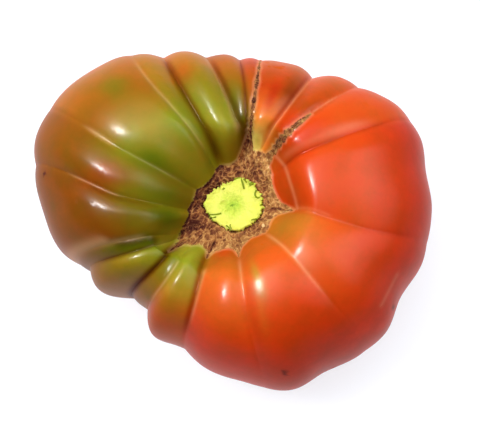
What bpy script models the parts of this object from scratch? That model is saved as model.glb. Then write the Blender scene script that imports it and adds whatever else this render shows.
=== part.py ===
"""A large ribbed beefsteak tomato, lying on its blossom end with the stem scar up.

Two pieces: the fruit, grown as one body, and the torn stub of the stem that stayed in its scar.
Units are metres, +Z is up. The origin is under the middle of the fruit, on the surface it rests on.
"""

import math

import bmesh
import bpy
import numpy as np
from mathutils import Vector, noise

# The driving sizes, in metres. Azimuths are in degrees, counter-clockwise from +X about the stem axis.
STEM_AXIS = (-0.0001, 0.0023)
FOOT_CENTRE = (0.0015, 0.0035)  # under the centre of mass
FOOT_RADIUS = 0.0115
EQUATOR_HEIGHT = 0.0305
EQUATOR_SWING = 0.0025  # the widest level rises on the high side and drops across from it
HIGH_SIDE = 140.0
SCAR_HEIGHT = 0.0455

# The fullness of a shoulder or of the underside: 1 is an ellipse, and less is squarer.
SHOULDER_FULLNESS = 0.94
UNDER_FULLNESS = 0.94
WALL_SLOPE = 46.0  # of the stem cavity's wall where it leaves the cork
WALL_CURVE = 1.15
SKIN_WAVE = 0.0005
SKIN_WAVE_LENGTH = 0.018

# The corky ring climbs from the stem to the skin, in lumps. The stem stands in a socket
# that narrows downwards.
CORK_RISE = 0.0026
CORK_HOLLOW = 1.3
CORK_LUMP = 0.0018
CORK_LUMP_LENGTH = 0.0017
SOCKET_DEPTH = 0.0020
SOCKET_TAPER = 0.94

# The fruit seen from above: how far it reaches from the stem axis, with its creases filled.
OUTLINE = (
    (0, 0.0566),
    (11, 0.0560),
    (21, 0.0576),
    (31, 0.0564),
    (40, 0.0524),
    (50, 0.0490),
    (68, 0.0449),
    (85, 0.0443),
    (106, 0.0486),
    (120, 0.0527),
    (134, 0.0562),
    (150, 0.0590),
    (165, 0.0585),
    (182, 0.0530),
    (193, 0.0504),
    (203, 0.0462),
    (212, 0.0434),
    (220, 0.0400),
    (228, 0.0384),
    (238, 0.0420),
    (247, 0.0424),
    (258, 0.0447),
    (272, 0.0472),
    (289, 0.0526),
    (300, 0.0518),
    (312, 0.0538),
    (321, 0.0546),
    (333, 0.0529),
    (346, 0.0559),
)

# The top of the shoulders: azimuth, reach from the stem axis, height.
SHOULDERS = (
    (0, 0.0228, 0.0605),
    (45, 0.0235, 0.0595),
    (78, 0.0225, 0.0578),
    (100, 0.0208, 0.0580),
    (122, 0.0248, 0.0602),
    (150, 0.0322, 0.0620),
    (178, 0.0320, 0.0615),
    (202, 0.0275, 0.0595),
    (230, 0.0235, 0.0570),
    (270, 0.0256, 0.0590),
    (315, 0.0250, 0.0605),
)

# Where the skin ends and the corky ring begins.
CORK_EDGE = (
    (3, 0.0119),
    (16, 0.0115),
    (33, 0.0125),
    (43, 0.0138),
    (51, 0.0152),
    (58, 0.0150),
    (67, 0.0144),
    (75, 0.0127),
    (82, 0.0107),
    (91, 0.0093),
    (108, 0.0086),
    (123, 0.0084),
    (138, 0.0082),
    (157, 0.0087),
    (168, 0.0098),
    (189, 0.0112),
    (201, 0.0122),
    (210, 0.0142),
    (219, 0.0156),
    (228, 0.0148),
    (241, 0.0139),
    (252, 0.0136),
    (262, 0.0131),
    (274, 0.0130),
    (284, 0.0125),
    (294, 0.0119),
    (307, 0.0120),
    (320, 0.0121),
    (332, 0.0117),
    (343, 0.0125),
    (351, 0.0134),
    (357, 0.0126),
)

# The rounded, notched outline of the torn stem.
STUB_EDGE = (
    (9, 0.0082),
    (28, 0.0078),
    (47, 0.0077),
    (65, 0.0071),
    (81, 0.0064),
    (98, 0.0056),
    (125, 0.0053),
    (150, 0.0060),
    (173, 0.0075),
    (190, 0.0085),
    (207, 0.0079),
    (223, 0.0080),
    (240, 0.0079),
    (257, 0.0080),
    (271, 0.0089),
    (289, 0.0088),
    (306, 0.0086),
    (322, 0.0089),
    (339, 0.0088),
    (354, 0.0085),
)

# The creases between the ribs. Each has its azimuth at the corky ring, the degrees that it bows aside
# on its way out, its azimuth at the rim, its depth at the ring, on the shoulder and at the rim, and
# the width of the slope on each side of it.
CREASES = (
    (-11.5, -5.5, -9.5, 0.0010, 0.0026, 0.0009, 0.0200),
    (31.5, -2.0, 26.0, 0.0003, 0.0013, 0.0004, 0.0080),
    (49.4, -1.5, 43.5, 0.0012, 0.0012, 0.0009, 0.0050),
    (60.7, -2.4, 58.6, 0.0008, 0.0024, 0.0028, 0.0070),
    (74.2, 0.8, 79.5, 0.0012, 0.0012, 0.0006, 0.0045),
    (75.6, 1.5, 87.7, 0.0008, 0.0014, 0.0014, 0.0050),
    (77.5, 4.5, 100.3, 0.0020, 0.0036, 0.0022, 0.0100),
    (108.6, 3.5, 114.5, 0.0024, 0.0046, 0.0028, 0.0110),
    (118.8, 5.4, 123.0, 0.0006, 0.0010, 0.0006, 0.0055),
    (164.3, -1.3, 151.9, 0.0012, 0.0020, 0.0003, 0.0100),
    (192.5, -3.5, 168.0, 0.0014, 0.0022, 0.0010, 0.0085),
    (211.5, -1.0, 198.6, 0.0012, 0.0026, 0.0014, 0.0120),
    (214.2, 2.6, 202.8, 0.0014, 0.0026, 0.0022, 0.0085),
    (219.3, 3.8, 220.5, 0.0032, 0.0048, 0.0030, 0.0100),
    (228.5, 3.5, 230.0, 0.0006, 0.0014, 0.0018, 0.0055),
    (246.4, 1.6, 250.5, 0.0030, 0.0044, 0.0020, 0.0150),
    (276.0, -1.5, 280.0, 0.0020, 0.0018, 0.0003, 0.0100),
    (313.5, -2.5, 314.0, 0.0008, 0.0013, 0.0003, 0.0120),
)
CREASE_BEND = 1.15
NARROWING = 0.3  # share of its width that a crease would keep on the stem axis

# The stages of the surface, on the way from the stem to the foot.
STEM, SKIN, CREST, EQUATOR, FOOT = range(5)
CREASES_START = 0.2
CREASES_DEEPEN = 0.5
CREASES_END = 3.95
SLOPE_STEP = 0.02  # between the two sections that a normal is worked out from

# The two healed splits. Each has the azimuth at which it and a crease leave the corky ring, how far
# it runs over the skin as a share of the way from the ring to the rim, the width of its cork and the
# height of its broken crust.
SPLITS = (
    (49.4, 0.52, 0.0012, 0.0007),
    (74.2, 0.95, 0.0008, 0.0004),
)
SPLIT_FADE = 0.75  # share of a split's length where its crust starts to thin
CRUST_BREAKS = 31.0
CRUST_MEAN = 0.67

# The torn stem: gap to its socket, rise over the cork, and the length of the torn shreds. Its rings,
# from the base up and then in over the top, each have a share of its outline, a height and a roughness.
STUB_GAP = 0.0003
STUB_RISE = 0.0009
SHRED_LENGTH = 0.0024
STUB_BASE = SCAR_HEIGHT - SOCKET_DEPTH + STUB_GAP
STUB_TOP = SCAR_HEIGHT + STUB_RISE
STUB_RINGS = (
    (0.90, STUB_BASE, 0.0),
    (0.95, STUB_BASE + 0.0008, 0.0),
    (0.97, SCAR_HEIGHT, 0.0),
    (0.97, STUB_TOP - 0.0006, 0.0006),
    (0.88, STUB_TOP, 0.0014),
    (0.72, STUB_TOP - 0.0003, 0.0014),
    (0.50, STUB_TOP - 0.0005, 0.0012),
    (0.28, STUB_TOP - 0.0008, 0.0010),
    (0.12, STUB_TOP - 0.0014, 0.0004),
)
STUB_DIMPLE = STUB_TOP - 0.0016

COLUMNS = 126
LEAST_COLUMNS = 4
CORK_ROWS = 5
WALL_ROWS = 8
SHOULDER_ROWS = 11
UNDER_ROWS = 10
STUB_COLUMNS = 44


def round_curve(points):
    """A smooth closed curve through (azimuth, value) points, as a function of the azimuth in degrees."""
    first = points[0][0]
    azimuths = np.array([point[0] for point in points], float)
    values = np.array([point[1] for point in points], float)
    azimuths = np.concatenate([azimuths[-2:] - 360, azimuths, azimuths[:3] + 360])
    values = np.concatenate([values[-2:], values, values[:3]])
    slopes = np.gradient(values, azimuths)

    def at(azimuth):
        turned = (np.asarray(azimuth, float) - first) % 360 + first
        start = np.searchsorted(azimuths, turned, side="right") - 1
        span = azimuths[start + 1] - azimuths[start]
        u = (turned - azimuths[start]) / span
        return (
            values[start] * (2 * u**3 - 3 * u**2 + 1)
            + slopes[start] * span * (u**3 - 2 * u**2 + u)
            + values[start + 1] * (3 * u**2 - 2 * u**3)
            + slopes[start + 1] * span * (u**3 - u**2)
        )

    return at


outline = round_curve(OUTLINE)
shoulder_reach = round_curve([(azimuth, reach) for azimuth, reach, _ in SHOULDERS])
shoulder_height = round_curve([(azimuth, height) for azimuth, _, height in SHOULDERS])
cork_edge = round_curve(CORK_EDGE)
stub_edge = round_curve(STUB_EDGE)


def smooth_step(low, high, value):
    """0 below low, 1 above high, and a smooth rise between them."""
    u = np.clip((np.asarray(value, float) - low) / (high - low), 0, 1)
    return u * u * (3 - 2 * u)


def foot_reach(azimuth):
    """How far the edge of the flat resting spot is from the stem axis."""
    angle = np.radians(azimuth)
    across = FOOT_CENTRE[0] - STEM_AXIS[0], FOOT_CENTRE[1] - STEM_AXIS[1]
    along = across[0] * np.cos(angle) + across[1] * np.sin(angle)
    aside = across[0] * np.sin(angle) - across[1] * np.cos(angle)
    return along + np.sqrt(FOOT_RADIUS**2 - aside**2)


def filled_section(azimuth, stage):
    """Reach and height of the fruit with its creases filled.

    The stage runs from STEM over SKIN, the edge of the cork, CREST, the top of the shoulder, and
    EQUATOR to FOOT.
    """
    edge, crest, rim = cork_edge(azimuth), shoulder_reach(azimuth), outline(azimuth)
    equator = EQUATOR_HEIGHT + EQUATOR_SWING * np.cos(np.radians(azimuth - HIGH_SIDE))
    edge_height = SCAR_HEIGHT + CORK_RISE
    if stage <= SKIN:
        inner = stub_edge(azimuth)
        height = SCAR_HEIGHT + CORK_RISE * stage**CORK_HOLLOW
        return inner + (edge - inner) * stage, np.full_like(edge, height)
    if stage <= CREST:
        u = stage - SKIN
        run, rise = crest - edge, shoulder_height(azimuth) - edge_height
        steep = math.radians(WALL_SLOPE)
        length = WALL_CURVE * np.hypot(run, rise)
        ease_in, ease_out = u**3 - 2 * u**2 + u, u**3 - u**2
        blend = 3 * u**2 - 2 * u**3
        reach = edge + run * blend + length * (ease_in * math.cos(steep) + ease_out)
        return reach, edge_height + rise * blend + length * ease_in * math.sin(steep)
    if stage <= EQUATOR:
        turn = (stage - CREST) * math.pi / 2
        reach = crest + (rim - crest) * math.sin(turn) ** SHOULDER_FULLNESS
        drop = shoulder_height(azimuth) - equator
        return reach, equator + drop * math.cos(turn) ** SHOULDER_FULLNESS
    turn = (stage - EQUATOR) * math.pi / 2
    foot = foot_reach(azimuth)
    reach = foot + (rim - foot) * max(math.cos(turn), 0) ** UNDER_FULLNESS
    return reach, equator * (1 - math.sin(turn) ** UNDER_FULLNESS)


def outward(azimuths, stage):
    """The normal of the filled surface at this stage: its part away from the stem axis, and its part up."""
    reach_before, height_before = filled_section(azimuths, max(stage - SLOPE_STEP, STEM))
    reach_after, height_after = filled_section(azimuths, min(stage + SLOPE_STEP, FOOT))
    length = np.hypot(reach_after - reach_before, height_after - height_before)
    return (height_before - height_after) / length, (reach_after - reach_before) / length


def way_out(stage):
    """Share of the way from the corky ring to the rim, seen from above, at this stage."""
    around = np.arange(0, 360, 10)
    start, end = cork_edge(around).mean(), outline(around).mean()
    reach = filled_section(around, min(max(stage, SKIN), EQUATOR))[0].mean()
    return (reach - start) / (end - start)


def crease_azimuths(stage):
    """Azimuth of each crease at this stage. They bend and bow on their way out to the rim."""
    share = way_out(stage)
    bent, bowed = share**CREASE_BEND, 4 * share * (1 - share)
    return np.array([ring + (rim - ring) * bent + bow * bowed for ring, bow, rim, *_ in CREASES])


def crease_depths(stage):
    """Depth of each crease at this stage: it grows over the wall, and dies away towards the foot."""
    ring, shoulder, rim = (np.array([crease[n] for crease in CREASES]) for n in (3, 4, 5))
    over_wall = smooth_step(CREASES_DEEPEN, CREST, stage)
    over_rim = smooth_step(CREST, EQUATOR, stage)
    fading = smooth_step(CREASES_START, SKIN, stage) * (1 - smooth_step(EQUATOR, CREASES_END, stage))
    return (ring + (shoulder - ring) * over_wall + (rim - shoulder) * over_rim) * fading


def column_shares():
    """For each column of the mesh: the crease before it, and its place between that crease and the next."""
    at_rim = crease_azimuths(EQUATOR)
    widths = np.diff(np.append(at_rim, at_rim[0] + 360))
    spare = COLUMNS - LEAST_COLUMNS * len(CREASES)
    counts = [LEAST_COLUMNS + math.floor(spare * width / 360) for width in widths]
    shares = []
    for before, count in enumerate(counts):
        for n in range(count):
            even = n / count
            eased = (1 - math.cos(math.pi * even)) / 2
            shares.append((before, (even + eased) / 2))
    return shares


def split_relief(azimuths, reaches, stage):
    """The broken crust of cork that stands in each healed split."""
    relief = np.zeros(len(azimuths))
    share = way_out(stage)
    for at_ring, length, width, height in SPLITS:
        crease = [row[0] for row in CREASES].index(at_ring)
        middle = crease_azimuths(stage)[crease]
        aside = np.radians((azimuths - middle + 180) % 360 - 180) * reaches
        fade = smooth_step(CREASES_START, SKIN, stage)
        fade *= 1 - smooth_step(length * SPLIT_FADE, length, share)
        broken = CRUST_MEAN + (1 - CRUST_MEAN) * math.cos(stage * CRUST_BREAKS + at_ring)
        relief += height * broken * fade * np.exp(-((aside / width) ** 2))
    return relief


def fruit_row(stage, shares):
    """The points of the fruit's surface at this stage, one for each column, about the stem axis."""
    creases = crease_azimuths(stage)
    after = np.append(creases, creases[0] + 360)
    azimuths = np.array([after[b] + (after[b + 1] - after[b]) * u for b, u in shares])
    reach, height = filled_section(azimuths, stage)
    out, up = outward(azimuths, stage)
    sunk = -split_relief(azimuths, reach, stage)
    for crease, depth, row in zip(creases, crease_depths(stage), CREASES):
        aside = np.abs((azimuths - crease + 180) % 360 - 180)
        distance = np.radians(aside) * reach
        width = row[6] * (NARROWING + (1 - NARROWING) * reach / outline(azimuths))
        sunk += depth * np.clip(1 - distance / width, 0, 1) ** 2
    reach, height = reach - sunk * out, height - sunk * up
    wavy = SKIN_WAVE * float(smooth_step(SKIN, CREST, stage) * (1 - smooth_step(EQUATOR, FOOT, stage)))
    lumpy = CORK_LUMP * math.sin(math.pi * min(stage, SKIN))
    angles = np.radians(azimuths)
    points = []
    for angle, r, z, o, u in zip(angles, reach, height, out, up):
        place = Vector((r * math.cos(angle), r * math.sin(angle), z))
        place.z += lumpy * noise.noise(place / CORK_LUMP_LENGTH)
        wave = wavy * noise.noise(place / SKIN_WAVE_LENGTH)
        points.append(place + Vector((o * math.cos(angle), o * math.sin(angle), u)) * wave)
    return points


def surface_between(rows, bottom, top):
    """A closed mesh from rows of points, each joined to the next, with a point that closes each end."""
    mesh = bmesh.new()
    rings = [[mesh.verts.new(point) for point in row] for row in rows]
    count = len(rows[0])
    for ring, following in zip(rings, rings[1:]):
        for n in range(count):
            after = (n + 1) % count
            mesh.faces.new((ring[n], following[n], following[after], ring[after]))
    for ring, end in ((rings[0], top), (rings[-1], bottom)):
        middle = mesh.verts.new(end)
        for n in range(count):
            mesh.faces.new((ring[n], ring[(n + 1) % count], middle))
    bmesh.ops.recalc_face_normals(mesh, faces=mesh.faces)
    bmesh.ops.triangulate(mesh, faces=mesh.faces)
    return mesh


def add_object(name, mesh, material, sharp_from):
    """The finished mesh as an object of its own, shaded smooth, standing on the stem axis."""
    data = bpy.data.meshes.new(name)
    mesh.to_mesh(data)
    mesh.free()
    data.materials.append(material)
    data.shade_smooth()
    data.set_sharp_from_angle(angle=math.radians(sharp_from))
    piece = bpy.data.objects.new(name, data)
    piece.location = (*STEM_AXIS, 0)
    bpy.context.scene.collection.objects.link(piece)
    return piece


def plain_material(name, colour, roughness):
    """A surface of one colour and one roughness, neither of them metal."""
    material = bpy.data.materials.new(name)
    material.use_nodes = True
    shader = material.node_tree.nodes["Principled BSDF"]
    shader.inputs["Base Color"].default_value = (*colour, 1)
    shader.inputs["Roughness"].default_value = roughness
    shader.inputs["Metallic"].default_value = 0
    material.diffuse_color = (*colour, 1)
    return material


def add_fruit():
    """The fruit: corky socket and ring, wall of the stem cavity, ribbed shoulders, underside and foot."""
    shares = column_shares()
    stages = [STEM + n / CORK_ROWS for n in range(CORK_ROWS)]
    stages += [SKIN + n / WALL_ROWS for n in range(WALL_ROWS)]
    stages += [CREST + n / SHOULDER_ROWS for n in range(SHOULDER_ROWS)]
    stages += [EQUATOR + n / UNDER_ROWS for n in range(UNDER_ROWS)]
    stages.append(FOOT)
    rows = [fruit_row(stage, shares) for stage in stages]
    floor_height = SCAR_HEIGHT - SOCKET_DEPTH
    socket = [(point.x * SOCKET_TAPER, point.y * SOCKET_TAPER, floor_height) for point in rows[0]]
    rows.insert(0, socket)
    foot = FOOT_CENTRE[0] - STEM_AXIS[0], FOOT_CENTRE[1] - STEM_AXIS[1]
    mesh = surface_between(rows, bottom=(*foot, 0), top=(0, 0, floor_height))
    add_object("fruit", mesh, plain_material("tomato_skin", (0.55, 0.09, 0.03), 0.28), 60)


def stub_row(share, height, rough):
    """A ring of the torn stem: a share of its outline, at a height, with a torn rise and fall."""
    points = []
    for n in range(STUB_COLUMNS):
        azimuth = n * 360 / STUB_COLUMNS
        reach = (float(stub_edge(azimuth)) - STUB_GAP) * share
        angle = math.radians(azimuth)
        place = Vector((reach * math.cos(angle), reach * math.sin(angle), height))
        place.z += rough * noise.noise(place / SHRED_LENGTH)
        points.append(place)
    return points


def add_stem_stub():
    """The torn end of the stem, seated in the corky socket, with its core sunk and its edge standing up."""
    rows = [stub_row(share, height, rough) for share, height, rough in STUB_RINGS]
    mesh = surface_between(rows, bottom=(0, 0, STUB_DIMPLE), top=(0, 0, STUB_BASE))
    add_object("stem_stub", mesh, plain_material("torn_stem", (0.62, 0.75, 0.12), 0.6), 50)


for old in list(bpy.data.objects):
    bpy.data.objects.remove(old, do_unlink=True)
add_fruit()
add_stem_stub()
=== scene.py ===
"""A large ribbed beefsteak tomato, half ripe, lying stem up on a white table and seen from above."""

import math

import bpy
import numpy as np
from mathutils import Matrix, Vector, noise


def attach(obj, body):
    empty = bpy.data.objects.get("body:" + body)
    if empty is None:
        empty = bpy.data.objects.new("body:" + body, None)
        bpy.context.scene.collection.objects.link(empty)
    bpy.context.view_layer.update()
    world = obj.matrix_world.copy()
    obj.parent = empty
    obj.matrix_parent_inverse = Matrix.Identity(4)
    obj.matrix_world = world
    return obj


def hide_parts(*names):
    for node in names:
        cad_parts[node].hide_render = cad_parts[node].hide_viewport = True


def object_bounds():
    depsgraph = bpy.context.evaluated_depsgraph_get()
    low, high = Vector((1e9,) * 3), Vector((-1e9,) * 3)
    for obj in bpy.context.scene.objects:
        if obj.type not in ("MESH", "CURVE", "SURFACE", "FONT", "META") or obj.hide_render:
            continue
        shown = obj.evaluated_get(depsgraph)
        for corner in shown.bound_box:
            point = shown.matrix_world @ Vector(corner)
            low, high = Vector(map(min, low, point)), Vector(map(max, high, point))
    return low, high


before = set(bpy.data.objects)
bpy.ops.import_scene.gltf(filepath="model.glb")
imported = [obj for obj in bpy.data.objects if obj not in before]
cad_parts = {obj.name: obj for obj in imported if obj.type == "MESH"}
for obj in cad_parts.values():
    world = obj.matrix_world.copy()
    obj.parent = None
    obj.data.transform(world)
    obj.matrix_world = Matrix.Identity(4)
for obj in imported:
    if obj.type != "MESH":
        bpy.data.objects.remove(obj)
cad_box = [list(corner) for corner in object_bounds()]

# The table: a sheet of matt white acrylic, far larger than the fruit, lit from above and a little from
# below. It is bright enough to burn out, and only the shade beside the fruit shows on it.
TABLE_SIDE = 4.0
TABLE_WHITE = "#F4F6FA"
TABLE_GREY = "#8C9098"
TABLE_GLOW = 0.80  # it is lit through from below
TABLE_ROUGHNESS = 0.8


def linear(code):
    """An sRGB hex colour as the linear numbers that a shader takes."""
    parts = [int(code[n : n + 2], 16) / 255 for n in (1, 3, 5)]
    return [p / 12.92 if p <= 0.04045 else ((p + 0.055) / 1.055) ** 2.4 for p in parts] + [1.0]


def set_up(shader, values):
    """Sets a shader's own sockets."""
    for socket, value in values.items():
        shader.inputs[socket].default_value = value


bpy.ops.object.select_all(action="DESELECT")
bpy.ops.mesh.primitive_plane_add(size=TABLE_SIDE, location=(0, 0, 0))
table = bpy.context.object
table.name = "table"
table_acrylic = bpy.data.materials.new("matt_white_acrylic")
table_acrylic.use_nodes = True
table_shader = table_acrylic.node_tree.nodes["Principled BSDF"]
set_up(table_shader, {
    "Base Color": linear(TABLE_GREY), "Roughness": TABLE_ROUGHNESS,
    "Emission Color": linear(TABLE_WHITE), "Emission Strength": TABLE_GLOW,
})
table.data.materials.append(table_acrylic)

# The lamps: a wide soft panel above and to the left does the lighting. A small lamp makes the glints
# in the skin, and dim soft panels on the left, overhead and on the right lay a sheen on the lobes.
LAMPS_AIM = Vector((0.0, 0.0, 0.03))
# Each lamp has its name, place, width in metres and watts, whether it lights and whether gloss shows it.
PANELS = (
    ("overhead_panel", (-0.13, 0.13, 0.80), 1.00, 10.0, True, False),
    ("glint_lamp", (-0.31, -0.01, 0.62), 0.150, 17.0, False, True),
    ("left_glow", (-0.24, 0.06, 0.64), 0.26, 4.0, False, True),
    ("left_wide_glow", (-0.18, 0.10, 0.66), 0.50, 4.5, False, True),
    ("top_wide_glow", (-0.02, 0.16, 0.68), 0.80, 5.0, False, True),
    ("right_glow", (0.42, 0.10, 0.46), 0.34, 1.6, False, True),
    ("right_wide_glow", (0.44, 0.02, 0.44), 0.66, 4.4, False, True),
)
for panel_name, panel_place, panel_side, panel_power, lights, mirrored in PANELS:
    bpy.ops.object.light_add(type="AREA", location=panel_place)
    panel = bpy.context.object
    panel.name = panel_name
    panel.data.shape = "DISK"
    panel.data.size = panel_side
    panel.data.energy = panel_power
    panel.rotation_euler = (LAMPS_AIM - Vector(panel_place)).to_track_quat("-Z", "Y").to_euler()
    panel.visible_diffuse = lights
    panel.visible_glossy = mirrored

# The room: white walls, bright at the back and dark in front, and brighter low down than overhead. The
# skin shows them where it turns away at the rims.
WALLS_BY_HEIGHT = ((0.0, 0.9), (0.30, 0.7), (0.60, 0.25))
WALLS_BY_DEPTH = ((0.0, 0.03), (0.42, 0.22), (0.58, 0.5), (0.85, 1.0))
ROOM_BRIGHTNESS = 0.8


def add_node(tree, kind, settings, links):
    """A node with its properties and sockets set, its ramp's stops placed, and its inputs linked."""
    made = tree.nodes.new(kind)
    for name, value in settings.items():
        if name == "stops":
            ramp = made.color_ramp
            while len(ramp.elements) < len(value):
                ramp.elements.new(0.5)
            for element, (place, colour) in zip(ramp.elements, value):
                element.position = place
                element.color = colour
        elif isinstance(name, str) and hasattr(made, name):
            setattr(made, name, value)
        else:
            made.inputs[name].default_value = value
    for name, output in links.items():
        tree.links.new(output, made.inputs[name])
    return made


room = bpy.data.worlds.new("white_room")
room.use_nodes = True
room_tree = room.node_tree
facing = add_node(room_tree, "ShaderNodeTexCoord", {}, {})
parts_of = add_node(room_tree, "ShaderNodeSeparateXYZ", {}, {0: facing.outputs["Generated"]})
by_height, by_depth = (
    [(place, (grey, grey, grey, 1)) for place, grey in walls] for walls in (WALLS_BY_HEIGHT, WALLS_BY_DEPTH)
)
walls = add_node(room_tree, "ShaderNodeValToRGB", {"stops": by_height}, {0: parts_of.outputs["Z"]})
to_back = add_node(room_tree, "ShaderNodeMapRange", {"From Min": -1.0}, {"Value": parts_of.outputs["Y"]})
depth = add_node(room_tree, "ShaderNodeValToRGB", {"stops": by_depth}, {0: to_back.outputs[0]})
lit = add_node(
    room_tree, "ShaderNodeMix", {"data_type": "RGBA", "blend_type": "MULTIPLY", 0: 1.0},
    {6: walls.outputs[0], 7: depth.outputs[0]},
)
room_tree.links.new(lit.outputs[2], room_tree.nodes["Background"].inputs["Color"])
room_tree.nodes["Background"].inputs["Strength"].default_value = ROOM_BRIGHTNESS
bpy.context.scene.world = room

# The camera: nearly straight above, tipped a little towards the front, close enough that the fruit
# fills four fifths of the picture.
CAMERA_AIM = Vector((0.0019, 0.0018, 0.030))
CAMERA_ELEVATION = math.radians(78.0)
CAMERA_DISTANCE = 0.42
SHOWN_WIDTH = 0.1360  # of the picture, at the distance of the aim
away = Vector((0.0, -math.cos(CAMERA_ELEVATION), math.sin(CAMERA_ELEVATION)))
bpy.ops.object.camera_add(location=CAMERA_AIM + away * CAMERA_DISTANCE)
camera = bpy.context.object
camera.rotation_euler = (-away).to_track_quat("-Z", "Y").to_euler()
camera.data.sensor_width = 36.0
camera.data.lens = camera.data.sensor_width * CAMERA_DISTANCE / SHOWN_WIDTH
camera.data.clip_start = 0.01
bpy.context.scene.camera = camera
bpy.context.scene.view_settings.view_transform = "Standard"

# The fruit: one body, ribbed and creased where its locules meet, under a thin glossy skin, with the
# corky ring that the stem leaves. It is a ball whose rings are drawn out into the fruit's own
# sections, from the stem's socket over the shoulders to the resting spot.
STEM_AXIS = (-0.0001, 0.0023)
FOOT_CENTRE = (0.0015, 0.0035)
FOOT_RADIUS = 0.0115
EQUATOR_HEIGHT = 0.0305
EQUATOR_SWING = 0.0025  # how much higher it is on the high side, and lower opposite
HIGH_SIDE = 140.0
SCAR_HEIGHT = 0.0455
SHOULDER_FULLNESS = 0.94  # the power of the section's curve: 1 is an ellipse, and less is squarer
UNDER_FULLNESS = 0.94
WALL_SLOPE = math.radians(46.0)  # of the hollow's wall where it leaves the cork
WALL_CURVE = 1.15
SKIN_WAVE = 0.0005
SKIN_WAVE_LENGTH = 0.018
CORK_RISE = 0.0026  # from the stem out to the cork's edge
CORK_HOLLOW = 1.3
SOCKET_DEPTH = 0.0020
SOCKET_TAPER = 0.94
SOCKET_MIDDLE_RING = 0.5
FLOWER_SCAR = (0.0005, 0.0035)  # radii of its dimple's bottom and edge, under the fruit
FLOWER_SCAR_DEPTH = 0.0007
FLOWER_SCAR_CORK = 1.6  # mm, the radius of its button of cork
FOOT_HEIGHT = 0.004  # below it the skin is the foot's
DRAWN_IN = 0.997  # the skin is drawn in this much, so that its waves stay inside the solid's size
HEADROOM = 0.00005
MM = 0.001

# Azimuth in degrees, then metres from the stem axis: the outline from above, the shoulder's top with
# its height, the edge of the cork, and the edge of the stem.
OUTLINE = (
    (0, 0.0566), (11, 0.0560), (21, 0.0576), (31, 0.0564), (40, 0.0524), (50, 0.0490), (68, 0.0449),
    (85, 0.0443), (106, 0.0486), (120, 0.0527), (134, 0.0562), (150, 0.0590), (165, 0.0585),
    (182, 0.0530), (193, 0.0504), (203, 0.0462), (212, 0.0434), (220, 0.0400), (228, 0.0384),
    (238, 0.0420), (247, 0.0424), (258, 0.0447), (272, 0.0472), (289, 0.0526), (300, 0.0518),
    (312, 0.0538), (321, 0.0546), (333, 0.0529), (346, 0.0559),
)
SHOULDERS = (
    (0, 0.0228, 0.0605), (45, 0.0235, 0.0595), (78, 0.0225, 0.0578), (100, 0.0208, 0.0580),
    (122, 0.0248, 0.0602), (150, 0.0322, 0.0620), (178, 0.0320, 0.0615), (202, 0.0275, 0.0595),
    (230, 0.0235, 0.0570), (270, 0.0256, 0.0590), (315, 0.0250, 0.0605),
)
CORK_EDGE = (
    (3, 0.0119), (16, 0.0115), (33, 0.0125), (43, 0.0138), (51, 0.0152), (58, 0.0150), (67, 0.0144),
    (75, 0.0127), (82, 0.0107), (91, 0.0093), (108, 0.0086), (123, 0.0084), (138, 0.0082),
    (157, 0.0087), (168, 0.0098), (189, 0.0112), (201, 0.0122), (210, 0.0142), (219, 0.0156),
    (228, 0.0148), (241, 0.0139), (252, 0.0136), (262, 0.0131), (274, 0.0130), (284, 0.0125),
    (294, 0.0119), (307, 0.0120), (320, 0.0121), (332, 0.0117), (343, 0.0125), (351, 0.0134),
    (357, 0.0126),
)
STUB_EDGE = (
    (9, 0.0082), (28, 0.0078), (47, 0.0077), (65, 0.0071), (81, 0.0064), (98, 0.0056),
    (125, 0.0053), (150, 0.0060), (173, 0.0075), (190, 0.0085), (207, 0.0079), (223, 0.0080),
    (240, 0.0079), (257, 0.0080), (271, 0.0089), (289, 0.0088), (306, 0.0086), (322, 0.0089),
    (339, 0.0088), (354, 0.0085),
)

# The creases, in order round the fruit: azimuth at the cork, degrees of bow, azimuth at the rim, depth
# at the cork, on the shoulder and at the rim, and the width of each slope.
CREASES = (
    (-11.5, -5.5, -9.5, 0.0010, 0.0026, 0.0009, 0.0200),
    (31.5, -2.0, 26.0, 0.0003, 0.0013, 0.0004, 0.0080),
    (49.4, -1.5, 43.5, 0.0012, 0.0012, 0.0009, 0.0050),
    (60.7, -2.4, 58.6, 0.0008, 0.0024, 0.0028, 0.0070),
    (74.2, 0.8, 79.5, 0.0012, 0.0012, 0.0006, 0.0045),
    (75.6, 1.5, 87.7, 0.0008, 0.0014, 0.0014, 0.0050),
    (77.5, 4.5, 100.3, 0.0020, 0.0036, 0.0022, 0.0100),
    (108.6, 3.5, 114.5, 0.0024, 0.0046, 0.0028, 0.0110),
    (118.8, 5.4, 123.0, 0.0006, 0.0010, 0.0006, 0.0055),
    (164.3, -1.3, 151.9, 0.0012, 0.0020, 0.0003, 0.0100),
    (192.5, -3.5, 168.0, 0.0014, 0.0022, 0.0010, 0.0085),
    (211.5, -1.0, 198.6, 0.0012, 0.0026, 0.0014, 0.0120),
    (214.2, 2.6, 202.8, 0.0014, 0.0026, 0.0022, 0.0085),
    (219.3, 3.8, 220.5, 0.0032, 0.0048, 0.0030, 0.0100),
    (228.5, 3.5, 230.0, 0.0006, 0.0014, 0.0018, 0.0055),
    (246.4, 1.6, 250.5, 0.0030, 0.0044, 0.0020, 0.0150),
    (276.0, -1.5, 280.0, 0.0020, 0.0018, 0.0003, 0.0100),
    (313.5, -2.5, 314.0, 0.0008, 0.0013, 0.0003, 0.0120),
)
CREASE_BEND = 1.15
NARROWING = 0.3  # how wide a crease would be at the axis, as a share of its width at the rim
# The stages of the way from the stem over the skin to the foot, and where the creases start and end.
STEM, SKIN, CREST, EQUATOR, FOOT = range(5)
CREASES_START = 0.2
CREASES_END = 3.95

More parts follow.
